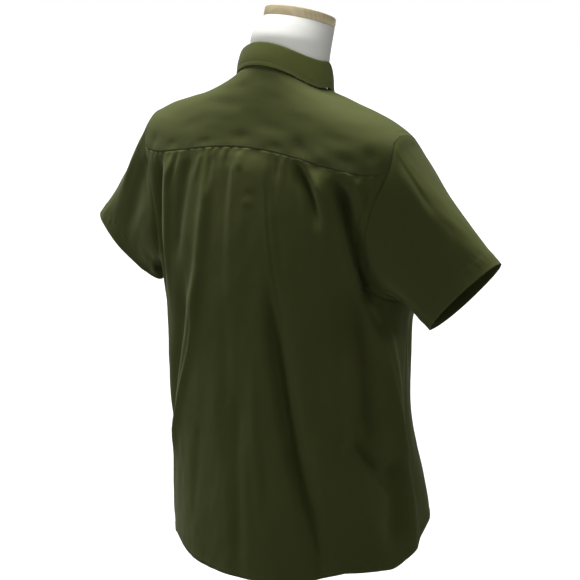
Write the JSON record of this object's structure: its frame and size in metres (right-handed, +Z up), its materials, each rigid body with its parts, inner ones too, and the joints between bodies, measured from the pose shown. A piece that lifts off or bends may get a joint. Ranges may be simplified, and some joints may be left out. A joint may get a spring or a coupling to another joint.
{
  "type": "work shirt on a dress form",
  "caption": "Short-sleeve button-up work shirt with a gathered, box-pleated back, worn on a limbless dress form with a neck cap and a round foot.",
  "frame": {"origin": "centre of the flat underside of the dress form's round base", "axes": "+Z up, the wearer faces -Y, the wearer's left is +X"},
  "size_m": [0.6856, 0.33, 0.9694],
  "materials": {
    "shirt_cloth": "matt plain weave, olive green",
    "button_plastic": "satin, dark olive",
    "form_cover": "smooth off-white cover",
    "cap_wood": "pale, clear satin",
    "stand_paint": "off-white satin"
  },
  "bodies": {
    "root": {"back_panel": "shirt_cloth", "yoke": "shirt_cloth", "front_right": "shirt_cloth", "front_left": "shirt_cloth", "sleeve_right": "shirt_cloth", "sleeve_left": "shirt_cloth", "collar_stand": "shirt_cloth", "collar_leaf": "shirt_cloth", "button_1": "button_plastic", "button_2": "button_plastic", "button_3": "button_plastic", "button_4": "button_plastic", "button_5": "button_plastic", "button_6": "button_plastic", "button_stand": "button_plastic", "form_body": "form_cover", "form_neck_cap": "cap_wood", "form_pole": "stand_paint", "form_base": "stand_paint"}
  },
  "joints": []
}
